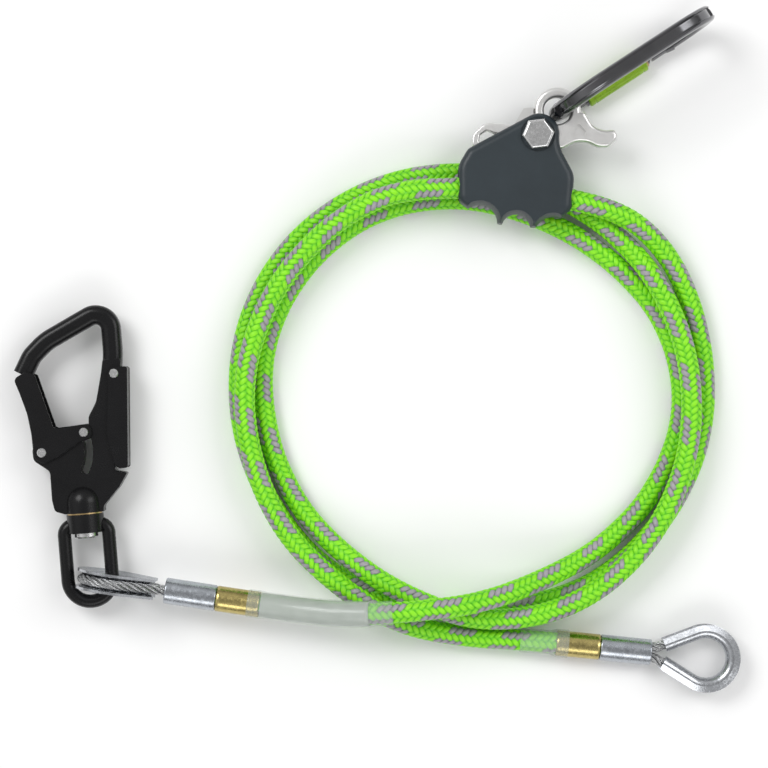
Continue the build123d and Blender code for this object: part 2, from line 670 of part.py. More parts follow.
sleeve_bore = bush_r + running_fit
with BuildPart() as locking_sleeve:
    with BuildSketch(gate_section.offset(sleeve_start)):
        Circle(sleeve_r)
        Circle(sleeve_bore, mode=Mode.SUBTRACT)
    extrude(amount=biner_sleeve_length)
    rims = locking_sleeve.edges().filter_by(GeomType.CIRCLE).filter_by(lambda e: abs(e.radius - sleeve_r) < 0.01)
    chamfer(rims, 0.7)
    # long grip flutes, and two turned grooves
    flute_start = sleeve_start + 6
    with BuildSketch(gate_section.offset(flute_start)):
        with PolarLocations(sleeve_r + 1.1, 12):
            Circle(1.6)
    extrude(amount=biner_sleeve_length - 12, mode=Mode.SUBTRACT)
    for groove_at in (sleeve_start + 3.2, sleeve_start + biner_sleeve_length - 4.0):
        with BuildSketch(gate_section.offset(groove_at)):
            Circle(sleeve_r + 1)
            Circle(sleeve_r - 0.5, mode=Mode.SUBTRACT)
        extrude(amount=0.9, mode=Mode.SUBTRACT)
finish(locking_sleeve, "locking_sleeve")

with BuildPart() as gate_collar:
    with BuildSketch(gate_section.offset(sleeve_start - 1.6)):
        Circle(sleeve_r - 1.2)
        Circle(gate_r + 0.02, mode=Mode.SUBTRACT)
    extrude(amount=1.2)
finish(gate_collar, "gate_collar")


# ---------------------------------------------------------------- swivel snap hook
# The hook frame has its origin at the foot of the forging, X to the right and Y up the stem's
# axis. The forging is a round-edged hook bar on a flat base. The gate is a folded sheet that
# straddles the base, and so is the lock lever on the spine.
half_hook = hook_t / 2
plate_in = half_hook + plate_gap
plate_out = plate_in + plate_t
gate_hinge = (-21.8, 38.5)
foot_pin = (3.9, 48.6)
lever_hinge = (24.5, 81.9)
bar_route = [(-30.0, 85.6), (-24.0, 96.0), (-15.0, 104.0), (24.3, 122.8), (24.3, 92.0), (17.0, 56.0)]
bar_rounds = [14, 30, 9, 60]
base_outline = [
    (29.3, 91.0), (20.8, 28.0), (20.8, 24.4), (27.7, 22.8), (22.3, 14.8), (12.0, 4.0), (12.0, 0.9),
    (-11.0, 0.9), (-17.0, 3.0), (-18.2, 10.0), (-18.0, 27.0), (-27.2, 34.0), (-27.6, 43.6),
    (-17.0, 44.0), (6.2, 44.0), (7.4, 57.5), (12.5, 66.0), (16.6, 82.0), (18.4, 91.0),
]
base_rounds = [2, 1, 1, 0.8, 8, 4, 0.5, 0.5, 3, 5, 4, 4.5, 4.5, 2, 1.5, 4, 12, 30, 2]
dome_r = 11.5
dome_top = 18.4
stem_r = stem_d / 2
stem_seat = 8.0                  # how far the stem reaches into the forging
slot_r = hypot(foot_pin[0] - gate_hinge[0], foot_pin[1] - gate_hinge[1])
slot_start = degrees(atan2(foot_pin[1] - gate_hinge[1], foot_pin[0] - gate_hinge[0]))
slot_turn = 46.0
gate_at = across(hook, *gate_hinge)
foot_at = across(hook, *foot_pin)
lever_at = across(hook, *lever_hinge)

with BuildPart() as hook_body:
    with BuildSketch(hook):
        with BuildLine():
            FilletPolyline(*base_outline, radius=base_rounds, close=True)
        make_face()
    extrude(amount=half_hook, both=True)
    fillet(hook_body.faces().sort_by(Axis.Z)[-1].edges() + hook_body.faces().sort_by(Axis.Z)[0].edges(), 0.6)
    with BuildLine(hook) as bar_line:
        FilletPolyline(*bar_route, radius=bar_rounds)
    bar_wire = bar_line.wires()[0]
    with BuildSketch(Plane(origin=bar_wire @ 0, x_dir=hook.z_dir, z_dir=bar_wire % 0)):
        RectangleRounded(hook_t, hook_bar_w, 4.4)
    sweep(path=bar_wire)
    # the dome round the stem's seat
    with BuildSketch(hook):
        with BuildLine():
            Line((0, 0.9), (dome_r, 0.9))
            Line((dome_r, 0.9), (dome_r, dome_top - dome_r))
            ThreePointArc((dome_r, dome_top - dome_r),
                          (dome_r * sqrt(0.5), dome_top - dome_r * (1 - sqrt(0.5))), (0, dome_top))
            Line((0, dome_top), (0, 0.9))
        make_face()
    revolve(axis=Axis(hook.origin, hook.y_dir))
    with BuildSketch(Plane(origin=hook.origin, x_dir=hook.x_dir, z_dir=hook.y_dir)):
        Circle(stem_r + 0.02)
    extrude(amount=stem_seat + 0.9, mode=Mode.SUBTRACT)
    # hinge holes, and the curved slot that the gate's foot pin runs in
    with BuildSketch(gate_at, lever_at):
        Circle(rivet_d / 2 + running_fit)
    extrude(amount=half_hook + 1, both=True, mode=Mode.SUBTRACT)
    with BuildSketch(hook):
        with Locations(gate_hinge):
            with BuildLine(mode=Mode.PRIVATE) as slot_line:
                CenterArc(gate_hinge, slot_r, slot_start + 8, -slot_turn - 10)
        SlotArc(slot_line.edges()[0], rivet_d + 1.4)
    extrude(amount=half_hook + 1, both=True, mode=Mode.SUBTRACT)
    # room for the gate spring between two lugs
    with BuildSketch(gate_at):
        Circle(7.2)
    extrude(amount=2.9, both=True, mode=Mode.SUBTRACT)
finish(hook_body, "hook_body")

gate_outline = [
    (-34.9, 83.2), (-32.0, 74.4), (-28.5, 62.0), (-27.0, 50.0), (-26.6, 35.0), (-21.0, 31.6),
    (-12.0, 35.0), (1.0, 42.8), (9.0, 45.6), (8.4, 53.6), (-13.6, 52.2), (-22.4, 85.0), (-28.0, 87.0),
]
gate_rounds = [3, 12, 30, 20, 5, 4, 12, 8, 3.6, 4, 2.5, 2, 3]
web_outline = [
    (-33.9, 80.2), (-31.7, 74.4), (-28.3, 62.4), (-27.4, 55.4), (-23.2, 56.0), (-24.2, 62.4),
    (-27.6, 75.0), (-28.8, 81.0),
]
with BuildPart() as hook_gate:
    with BuildSketch(hook.offset(plate_in), hook.offset(-plate_out)):
        with BuildLine():
            FilletPolyline(*gate_outline, radius=gate_rounds, close=True)
        make_face()
    extrude(amount=plate_t)
    with BuildSketch(hook):
        with BuildLine():
            FilletPolyline(*web_outline, radius=1.2, close=True)
        make_face()
    extrude(amount=plate_in + 0.2, both=True)
    with BuildSketch(gate_at, foot_at):
        Circle(rivet_d / 2)
    extrude(amount=plate_out + 1, both=True, mode=Mode.SUBTRACT)
    outer = hook_gate.faces().filter_by(lambda f: abs(f.normal_at().Z) > 0.99).sort_by(Axis.Z)
    chamfer(outer[-1].outer_wire().edges() + outer[0].outer_wire().edges(), 0.4)
finish(hook_gate, "hook_gate")


def rivet(plane, label, half_length):
    """A round-headed rivet through both plates."""
    with BuildPart() as pin:
        with BuildSketch(plane):
            Circle(rivet_d / 2 - 0.02)
        extrude(amount=half_length, both=True)
        with BuildSketch(plane.offset(half_length), plane.offset(-half_length - 0.7)):
            Circle(rivet_d / 2 + 0.7)
        extrude(amount=0.7)
        heads = pin.faces().filter_by(lambda f: abs(f.normal_at().Z) > 0.99).sort_by(Axis.Z)
        chamfer(heads[-1].edges() + heads[0].edges(), 0.35)
    finish(pin, label)


rivet(gate_at, "gate_rivet", plate_out + 0.02)
rivet(foot_at, "foot_pin", plate_out + 0.02)
rivet(lever_at, "lever_rivet", plate_out + 0.02)

spring(gate_at.offset(-2.2), 3.4, 1.0, 1.1, 4.4, "hook_gate_spring")

lever_outline = [
    (21.0, 85.6), (32.7, 85.6), (28.4, 25.6), (21.4, 25.6), (17.6, 46.0), (20.4, 72.0),
]
lever_rounds = [4, 1.5, 1.5, 4, 20, 20]
lever_web = [(31.0, 85.0), (32.4, 85.0), (28.3, 26.6), (26.5, 26.6)]
with BuildPart() as lock_lever:
    with BuildSketch(hook.offset(plate_in), hook.offset(-plate_out)):
        with BuildLine():
            FilletPolyline(*lever_outline, radius=lever_rounds, close=True)
        make_face()
    extrude(amount=plate_t)
    with BuildSketch(hook):
        Polygon(*lever_web, align=None)
    extrude(amount=plate_in + 0.2, both=True)
    with BuildSketch(lever_at):
        Circle(rivet_d / 2)
    extrude(amount=plate_out + 1, both=True, mode=Mode.SUBTRACT)
finish(lock_lever, "lock_lever")

# the swivel: eye, collar, stem with its riveted end, and a thrust washer
washer_gap = 0.05
with BuildPart() as thrust_washer:
    with BuildSketch(Plane(origin=hook.origin, x_dir=hook.x_dir, z_dir=hook.y_dir).offset(washer_gap)):
        Circle(collar_d / 2 - 0.6)
        Circle(stem_r + 0.1, mode=Mode.SUBTRACT)
    extrude(amount=0.8)
finish(thrust_washer, "thrust_washer")

collar_h = 11.0
collar_top = -0.05
stem_head_r = 7.2
stem_head_h = 3.0
with BuildPart() as swivel_eye:
    with BuildLine(hook) as ring_line:
        FilletPolyline((-4.0, -6.0), (-ring_half_w, -6.0), (-ring_half_w, -ring_length),
                       (ring_half_w, -ring_length), (ring_half_w, -6.0), (4.0, -6.0),
                       radius=[6.0, ring_half_w - 0.05, ring_half_w - 0.05, 6.0])
    ring_wire = ring_line.wires()[0]
    with BuildSketch(Plane(origin=ring_wire @ 0, x_dir=hook.z_dir, z_dir=ring_wire % 0)):
        Circle(ring_bar_d / 2)
    sweep(path=ring_wire)
    with BuildSketch(Plane(origin=hook.origin, x_dir=hook.x_dir, z_dir=hook.y_dir).offset(collar_top)):
        Circle(collar_d / 2)
    extrude(amount=-collar_h)
    with BuildSketch(Plane(origin=hook.origin, x_dir=hook.x_dir, z_dir=hook.y_dir).offset(collar_top)):
        Circle(stem_r + running_fit)
    extrude(amount=-20, mode=Mode.SUBTRACT)
    with BuildSketch(Plane(origin=hook.origin, x_dir=hook.x_dir, z_dir=hook.y_dir).offset(-collar_h)):
        Circle(stem_head_r + slip)
    extrude(amount=-10, mode=Mode.SUBTRACT)
finish(swivel_eye, "swivel_eye")

with BuildPart() as swivel_stem:
    with BuildSketch(Plane(origin=hook.origin, x_dir=hook.x_dir, z_dir=hook.y_dir).offset(stem_seat + 0.85)):
        Circle(stem_r)
    extrude(amount=-(stem_seat + 0.85 + collar_h + 0.5))
    with BuildSketch(Plane(origin=hook.origin, x_dir=hook.x_dir, z_dir=hook.y_dir).offset(-collar_h - 0.15)):
        Circle(stem_head_r)
    extrude(amount=-stem_head_h)
    low = swivel_stem.faces().sort_by(Axis(hook.origin, hook.y_dir))[0]
    chamfer(low.edges(), 0.8)
finish(swivel_stem, "swivel_stem")
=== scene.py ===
import math

import bpy
import numpy as np
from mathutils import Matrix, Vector


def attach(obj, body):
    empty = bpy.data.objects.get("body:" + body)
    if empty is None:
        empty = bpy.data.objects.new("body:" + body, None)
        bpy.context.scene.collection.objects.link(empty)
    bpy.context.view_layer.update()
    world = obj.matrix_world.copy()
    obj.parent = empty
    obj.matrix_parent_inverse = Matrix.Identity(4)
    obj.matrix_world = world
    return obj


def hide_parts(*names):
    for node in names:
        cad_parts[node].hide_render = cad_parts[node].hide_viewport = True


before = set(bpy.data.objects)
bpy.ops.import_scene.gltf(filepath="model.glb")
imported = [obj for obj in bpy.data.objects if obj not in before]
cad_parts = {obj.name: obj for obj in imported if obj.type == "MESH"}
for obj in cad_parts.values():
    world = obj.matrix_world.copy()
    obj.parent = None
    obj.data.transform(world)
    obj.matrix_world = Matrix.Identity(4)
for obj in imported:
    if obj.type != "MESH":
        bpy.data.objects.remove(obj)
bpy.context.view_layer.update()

MM = 0.001
ROPE = "rope_line"

# ---------------------------------------------------------------- camera
# The view is straight down on the middle of the picture's frame, 0.6 mm to a pixel on the floor.
COIL = (62.925, -53.561)            # middle of the coil on the floor, mm
VIEW_OFFSET = (-50.1, 9.5)          # from the coil's middle to the middle of the picture, mm
VIEW_HEIGHT = 1.6
SENSOR_WIDTH = 36.0
FOCAL_LENGTH = 125.0
FAR_CLIP = 20.0
lens_data = bpy.data.cameras.new("camera")
lens_data.sensor_width = SENSOR_WIDTH
lens_data.lens = FOCAL_LENGTH
lens_data.clip_end = FAR_CLIP
camera = bpy.data.objects.new("camera", lens_data)
camera.location = ((COIL[0] + VIEW_OFFSET[0]) * MM, (COIL[1] + VIEW_OFFSET[1]) * MM, VIEW_HEIGHT)
bpy.context.scene.collection.objects.link(camera)
bpy.context.scene.camera = camera
bpy.context.scene.view_settings.view_transform = "Standard"


# ---------------------------------------------------------------- mesh helpers
def link(obj):
    bpy.context.scene.collection.objects.link(obj)
    return obj


def unit(vectors):
    return vectors / np.linalg.norm(vectors, axis=-1, keepdims=True)


def resample(points, step):
    """The same line with points an even step apart."""
    runs = np.linalg.norm(np.diff(points, axis=0), axis=1)
    along = np.concatenate([[0], np.cumsum(runs)])
    count = int(round(along[-1] / step)) + 1
    even = np.linspace(0, along[-1], count)
    return np.stack([np.interp(even, along, points[:, k]) for k in range(3)], axis=1), even


def frames_along(points, first_side):
    """Tangent and two side vectors at each point, carried along the line without twist."""
    tangent = unit(np.gradient(points, axis=0))
    side = np.zeros_like(points)
    current = np.array(first_side, float)
    for i, t in enumerate(tangent):
        current = current - t * current.dot(t)
        current /= np.linalg.norm(current)
        side[i] = current
    return tangent, side, np.cross(tangent, side)


def grid_mesh(name, rings, smooth=True):
    """A mesh skinned over a list of tubes, each an array of rings by points, its distance along for the
    UVs, and where given a value per point that is kept as the attribute relief."""
    verts, faces, uvs, relief = [], [], [], []
    base = 0
    for tube, along, *height in rings:
        n, m, _ = tube.shape
        relief += [h.ravel() for h in height]
        verts.append(tube.reshape(-1, 3))
        i, j = np.meshgrid(np.arange(n - 1), np.arange(m), indexing="ij")
        j2 = (j + 1) % m
        quad = np.stack([i * m + j, i * m + j2, (i + 1) * m + j2, (i + 1) * m + j], axis=-1)
        faces.append(quad.reshape(-1, 4) + base)
        u0 = np.stack([along[i], along[i], along[i + 1], along[i + 1]], axis=-1)
        v0 = np.stack([j / m, (j + 1) / m, (j + 1) / m, j / m], axis=-1)
        uvs.append(np.stack([u0, v0], axis=-1).reshape(-1, 2))
        base += n * m
    verts = np.concatenate(verts)
    faces = np.concatenate(faces)
    mesh = bpy.data.meshes.new(name)
    mesh.vertices.add(len(verts))
    mesh.vertices.foreach_set("co", verts.astype(np.float32).ravel())
    mesh.loops.add(faces.size)
    mesh.loops.foreach_set("vertex_index", faces.astype(np.int32).ravel())
    mesh.polygons.add(len(faces))
    mesh.polygons.foreach_set("loop_start", np.arange(0, faces.size, 4, dtype=np.int32))
    mesh.update(calc_edges=True)
    layer = mesh.uv_layers.new(name="strand")
    layer.data.foreach_set("uv", np.concatenate(uvs).astype(np.float32).ravel())
    mesh.polygons.foreach_set("use_smooth", np.full(len(faces), smooth))
    # relief keeps a height per point, from which the yarn material paints shade and highlight.
    if relief:
        layer = mesh.attributes.new("relief", "FLOAT", "POINT")
        layer.data.foreach_set("value", np.concatenate(relief).astype(np.float32))
    return link(bpy.data.objects.new(name, mesh))


def tube(points, tangent, side, other, radii, count):
    """Rings of a round tube of the given radii along a line."""
    angle = np.linspace(0, 2 * math.pi, count, endpoint=False)
    ring = side[:, None, :] * np.cos(angle)[None, :, None] + other[:, None, :] * np.sin(angle)[None, :, None]
    return points[:, None, :] + ring * np.asarray(radii)[:, None, None]


# ---------------------------------------------------------------- materials
def material(name):
    mat = bpy.data.materials.new(name)
    mat.use_nodes = True
    tree = mat.node_tree
    shader = tree.nodes["Principled BSDF"]
    return mat, tree, shader


def add(tree, kind, **values):
    node = tree.nodes.new(kind)
    for key, value in values.items():
        if key in node.inputs:
            node.inputs[key].default_value = value
        else:
            setattr(node, key, value)
    return node


def ramp(tree, source, stops):
    node = tree.nodes.new("ShaderNodeValToRGB")
    marks = node.color_ramp.elements
    while len(marks) < len(stops):
        marks.new(0.5)
    for mark, (place, colour) in zip(marks, stops):
        mark.position = place
        mark.color = (*colour, 1) if len(colour) == 3 else colour
    tree.links.new(source, node.inputs["Fac"])
    return node.outputs["Color"]


def grey(value):
    return (value, value, value)


def shade(colour, factor):
    return tuple(min(1.0, c * factor) for c in colour)


def surface(name, colour, rough, metallic=0.0, vary=0.08, patch=60.0, grain=900.0, bump=0.05,
            bump_size=0.0002, stretch=(1, 1, 1), rough_vary=0.08, scratch=0.0, **sockets):
    """A procedural finish: patchy colour, fine grain in bump and roughness, and optional scratches."""
    mat, tree, shader = material(name)
    place = add(tree, "ShaderNodeTexCoord")
    fine_map = add(tree, "ShaderNodeMapping", Scale=stretch)
    tree.links.new(place.outputs["Object"], fine_map.inputs["Vector"])
    patches = add(tree, "ShaderNodeTexNoise", Scale=patch, Detail=5.0, Roughness=0.6)
    tree.links.new(place.outputs["Object"], patches.inputs["Vector"])
    fine = add(tree, "ShaderNodeTexNoise", Scale=grain, Detail=4.0, Roughness=0.65)
    tree.links.new(fine_map.outputs["Vector"], fine.inputs["Vector"])
    tint = ramp(tree, patches.outputs["Fac"], [(0.3, shade(colour, 1 - vary)), (0.7, shade(colour, 1 + vary))])
    tree.links.new(tint, shader.inputs["Base Color"])
    rough_tone = ramp(tree, fine.outputs["Fac"], [(0.3, grey(max(0.02, rough - rough_vary))),
                                                 (0.72, grey(min(1.0, rough + rough_vary)))])
    tree.links.new(rough_tone, shader.inputs["Roughness"])
    relief = add(tree, "ShaderNodeBump", Strength=bump, Distance=bump_size)
    height = fine.outputs["Fac"]
    if scratch:
        lines = add(tree, "ShaderNodeTexNoise", Scale=140.0, Detail=2.0)
        line_map = add(tree, "ShaderNodeMapping", Scale=(1.0, 14.0, 1.0), Rotation=(0.3, 0.2, 0.9))
        tree.links.new(place.outputs["Object"], line_map.inputs["Vector"])
        tree.links.new(line_map.outputs["Vector"], lines.inputs["Vector"])
        total = add(tree, "ShaderNodeMath", operation="MULTIPLY_ADD")
        total.inputs[1].default_value = scratch
        tree.links.new(lines.outputs["Fac"], total.inputs[0])
        tree.links.new(fine.outputs["Fac"], total.inputs[2])
        height = total.outputs[0]
    tree.links.new(height, relief.inputs["Height"])
    tree.links.new(relief.outputs["Normal"], shader.inputs["Normal"])
    shader.inputs["Metallic"].default_value = metallic
    for socket, value in sockets.items():
        shader.inputs[socket.replace("_", " ")].default_value = value
    return mat


def yarn(name, dark_fibre_and_shade, mid, light_fibre_and_highlight, sheen):
    """Filament yarn: fibres that run along the strand, with painted shade where it dives under and a painted
    highlight on its top, soft gloss.
    """
    mat, tree, shader = material(name)
    place = add(tree, "ShaderNodeUVMap", uv_map="strand")
    fibre_map = add(tree, "ShaderNodeMapping", Scale=(260.0, 22.0, 1.0))
    tree.links.new(place.outputs["UV"], fibre_map.inputs["Vector"])
    fibres = add(tree, "ShaderNodeTexNoise", Scale=1.0, Detail=4.0, Roughness=0.7)
    tree.links.new(fibre_map.outputs["Vector"], fibres.inputs["Vector"])
    soil_place = add(tree, "ShaderNodeTexCoord")
    soil = add(tree, "ShaderNodeTexNoise", Scale=70.0, Detail=3.0)
    tree.links.new(soil_place.outputs["Object"], soil.inputs["Vector"])
    # The relief attribute is the yarn's height over the rope; mixed into the colour ramp below, it paints shade in
    # the gaps between yarns and a highlight on their tops, over the fibre and patch tone.
    height = add(tree, "ShaderNodeAttribute", attribute_name="relief")
    grain = add(tree, "ShaderNodeMath", operation="MULTIPLY_ADD")
    grain.inputs[1].default_value = 0.42
    tree.links.new(fibres.outputs["Fac"], grain.inputs[0])
    tree.links.new(height.outputs["Fac"], grain.inputs[2])
    total = add(tree, "ShaderNodeMath", operation="MULTIPLY_ADD")
    total.inputs[1].default_value = 0.22
    tree.links.new(soil.outputs["Fac"], total.inputs[0])
    tree.links.new(grain.outputs[0], total.inputs[2])
    scaled = add(tree, "ShaderNodeMath", operation="MULTIPLY")
    scaled.inputs[1].default_value = 0.72
    tree.links.new(total.outputs[0], scaled.inputs[0])
    # The low end of the ramp is dark fibre tone plus painted shade, the high end light fibre tone plus painted
    # highlight.
    tint = ramp(tree, scaled.outputs[0], [(0.30, dark_fibre_and_shade), (0.62, mid), (0.90, light_fibre_and_highlight)])
    tree.links.new(tint, shader.inputs["Base Color"])
    relief = add(tree, "ShaderNodeBump", Strength=0.6, Distance=0.0002)
    tree.links.new(fibres.outputs["Fac"], relief.inputs["Height"])
    tree.links.new(relief.outputs["Normal"], shader.inputs["Normal"])
    shader.inputs["Roughness"].default_value = 0.42
    shader.inputs["Sheen Weight"].default_value = sheen
    shader.inputs["Sheen Roughness"].default_value = 0.4
    shader.inputs["Specular IOR Level"].default_value = 0.4
    return mat


# Colours per yarn: dark end with painted shade, its own mid tone, light end with painted highlight.
green_yarn = yarn("green_yarn", (0.004, 0.085, 0.002), (0.065, 0.47, 0.005), (0.27, 0.80, 0.012), 0.03)
tracer_yarn = yarn("tracer_yarn", (0.03, 0.033, 0.033), (0.165, 0.157, 0.168), (0.37, 0.355, 0.38), 0.03)
core_shadow = surface("rope_inside", (0.008, 0.10, 0.003), 0.9, vary=0.3, bump=0.3)
brass = surface("brass_sleeve", (0.50, 0.41, 0.16), 0.25, 1.0, vary=0.2, patch=160, grain=600,
                stretch=(1, 1, 1), bump=0.25, rough_vary=0.14, scratch=0.6)
label_film = surface("label_film", (0.42, 0.455, 0.42), 0.42, vary=0.07, patch=140, bump=0.08, Coat_Weight=0.5,
                     Coat_Roughness=0.16)
zinc = surface("zinc_sheet", (0.47, 0.485, 0.51), 0.24, 1.0, vary=0.10, patch=220, grain=700, bump=0.15,
               rough_vary=0.12, scratch=0.4)
swage_metal = surface("swage_metal", (0.43, 0.455, 0.49), 0.26, 1.0, vary=0.12, patch=180, grain=500, bump=0.25,
                      rough_vary=0.12, scratch=0.7)
wire_metal = surface("wire_metal", (0.40, 0.405, 0.41), 0.27, 1.0, vary=0.18, patch=400, grain=1400, bump=0.25,
                     rough_vary=0.12)
shell_paint = surface("shell_coating", (0.023, 0.032, 0.038), 0.40, 0.0, vary=0.10, patch=50, grain=1500, bump=0.22,
                      bump_size=0.00015, rough_vary=0.06, Specular_IOR_Level=0.40)
cast_steel = surface("cast_steel", (0.80, 0.795, 0.78), 0.36, 1.0, vary=0.05, patch=90, grain=900, bump=0.08,
                     bump_size=0.0002, rough_vary=0.06)
plated = surface("plated_steel", (0.72, 0.72, 0.72), 0.24, 1.0, vary=0.08, patch=200, grain=900, bump=0.10,
                 rough_vary=0.08, scratch=0.4)
spring_wire = surface("spring_wire", (0.40, 0.40, 0.42), 0.32, 1.0, vary=0.1, patch=300)
bronze = surface("bronze", (0.50, 0.36, 0.18), 0.35, 1.0, vary=0.12, patch=220, bump=0.2)
gunmetal = surface("gunmetal", (0.155, 0.155, 0.162), 0.17, 1.0, vary=0.10, patch=80, grain=900, bump=0.07,
                   rough_vary=0.06, scratch=0.5)
green_anodised = surface("green_anodised", (0.27, 0.46, 0.035), 0.32, 0.70, vary=0.12, patch=150, grain=900,
                         bump=0.12, rough_vary=0.08, scratch=0.5)
black_steel = surface("black_coating", (0.0060, 0.0060, 0.0065), 0.27, 0.0, vary=0.2, patch=70, grain=1300,
                      bump=0.12, rough_vary=0.06, Specular_IOR_Level=0.25)


def clear_film(name, tint, opacity):
    mat, tree, shader = material(name)
    place = add(tree, "ShaderNodeTexCoord")
    wrinkle = add(tree, "ShaderNodeTexNoise", Scale=260.0, Detail=3.0, Roughness=0.6)
    tree.links.new(place.outputs["Object"], wrinkle.inputs["Vector"])
    relief = add(tree, "ShaderNodeBump", Strength=0.35, Distance=0.0004)
    tree.links.new(wrinkle.outputs["Fac"], relief.inputs["Height"])
    tree.links.new(relief.outputs["Normal"], shader.inputs["Normal"])
    tone = ramp(tree, wrinkle.outputs["Fac"], [(0.3, shade(tint, 0.94)), (0.7, tint)])
    tree.links.new(tone, shader.inputs["Base Color"])
    shader.inputs["Roughness"].default_value = 0.12
    shader.inputs["Alpha"].default_value = opacity
    shader.inputs["IOR"].default_value = 1.45
    return mat


clear_shrink = clear_film("clear_shrink_film", (0.62, 0.68, 0.62), 0.17)


def dress(mat, *names):
    """Give CAD nodes a material."""
    for name in names:
        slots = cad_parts[name].material_slots
        for material_slot in slots:
            material_slot.material = mat


dress(zinc, "thimble_left", "thimble_right")
dress(swage_metal, "swage_sleeve_left", "swage_sleeve_right")
dress(shell_paint, "grab_shell")
dress(cast_steel, "cam_lever")
dress(plated, "grab_bolt", "bolt_washer", "lock_nut", "carabiner_gate_pin", "gate_plunger", "swivel_stem",
      "gate_rivet", "foot_pin", "lever_rivet")
dress(spring_wire, "cam_spring", "gate_plunger_spring", "hook_gate_spring")
dress(bronze, "pivot_bushing", "sleeve_bush", "thrust_washer")
dress(gunmetal, "carabiner_body", "carabiner_gate", "gate_collar")
dress(green_anodised, "locking_sleeve")
dress(black_steel, "swivel_eye", "hook_body", "hook_gate", "lock_lever")


def piece(obj, mat, body=ROPE, replaced=()):
    obj.data.materials.append(mat)
    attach(obj, body)
    if replaced:
        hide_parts(*replaced)
    return obj


# ---------------------------------------------------------------- rope
# The route as (bearing in degrees, distance, height in mm) from the coil's middle.
ROUTE = [
    (218.1, 190.2, 20.3), (228.3, 165.3, 20.3), (241.6, 143.9, 32.8), (256.8, 127.0, 37.2),
    (273.6, 119.5, 34.0), (293.2, 115.6, 19.0), (312.0, 119.5, 7.0), (334, 125.6, 6.5),
    (358, 131.7, 6.5), (382, 128.6, 6.5), (406, 120.5, 6.5), (430, 118.2, 6.5), (454, 123.0, 6.5),
    (478, 127.4, 6.5), (502, 128.1, 6.5), (526, 127.8, 6.5), (550, 122.8, 6.5), (572, 120.4, 6.5),
    (591, 118.5, 13.0), (611, 122.2, 20.6), (634, 133.5, 20.0), (658, 139.2, 19.8), (682, 138.0, 19.8),
    (706, 136.1, 19.8), (729, 134.0, 20.0), (750, 133.2, 19.0), (768, 133.6, 8.5), (787, 134.2, 6.5),
    (808, 137.6, 6.5), (832, 140.8, 6.5), (856, 142.8, 6.5), (880, 142.4, 6.5), (904, 139.1, 6.5),
    (928, 135.4, 6.5), (952, 134.2, 6.5), (976, 128.2, 6.5), (1000, 128.0, 6.5), (1024, 135.4, 6.5),
    (1048, 139.0, 6.5), (1072, 143.9, 6.5), (1096, 146.0, 6.5), (1118, 149.9, 12.0),
    (1136.5, 142.0, 24.0), (1183.7, 132.5, 24.0), (1206, 133.7, 20.6), (1230, 134.3, 19.9),
    (1254, 135.8, 19.9), (1276, 134.4, 19.9), (1296, 135.0, 20.2), (1314, 134.5, 20.2),
    (1332, 139.6, 15.8), (1348.8, 141.5, 8.8), (1365.2, 148.6, 8.8), (1378.1, 167.2, 8.8),
]
ROPE_D = 13.0 * MM


def station(bearing, distance, height):
    angle = math.radians(bearing)
    return ((COIL[0] + distance * math.cos(angle)) * MM, (COIL[1] + distance * math.sin(angle)) * MM, height * MM)


route = [station(*s) for s in ROUTE]
curve = bpy.data.curves.new("rope_inside", "CURVE")
curve.dimensions = "3D"
line = curve.splines.new("NURBS")
line.points.add(len(route) - 1)
for point, place in zip(line.points, route):
    point.co = (*place, 1)
line.use_endpoint_u = True
line.order_u = 3
READ_STEPS = 24                     # spans between stations when the route is read
DRAWN_STEPS = 8
line.resolution_u = READ_STEPS
rope = link(bpy.data.objects.new("rope_inside", curve))
read = bpy.data.meshes.new_from_object(rope)
rope_points = np.array([v.co[:] for v in read.vertices])
bpy.data.meshes.remove(read)
INSIDE_R = 4.75 * MM                # fills the rope behind its yarns
curve.bevel_depth = INSIDE_R
curve.bevel_resolution = 3
curve.use_fill_caps = True
curve.resolution_u = 6
line.resolution_u = DRAWN_STEPS
covers = [f"rope_cover_{n}" for n in range(1, 7)]
cores = [f"wire_core_{n}" for n in range(1, 7)]
piece(rope, core_shadow, replaced=covers + cores)

STEP = 1.2 * MM
line_points, line_at = resample(rope_points, STEP)
line_tangent, line_side, line_other = frames_along(line_points, (0, 0, 1))
line_length = line_at[-1]

# Sixteen carriers in a two-over, two-under braid: eight wind each way round.
CARRIERS = 8
LEAD = 32.5 * MM
YARN_HALF_W = 1.62 * MM
YARN_HALF_T = 0.85 * MM
BRAID_R = 5.12 * MM
BRAID_WAVE = 0.52 * MM
YARN_SIDES = 8
# Yarn skin this close to the rope's middle or closer gets the full painted shade in the yarn colour.
FULL_SHADE_REACH = 5.0 * MM


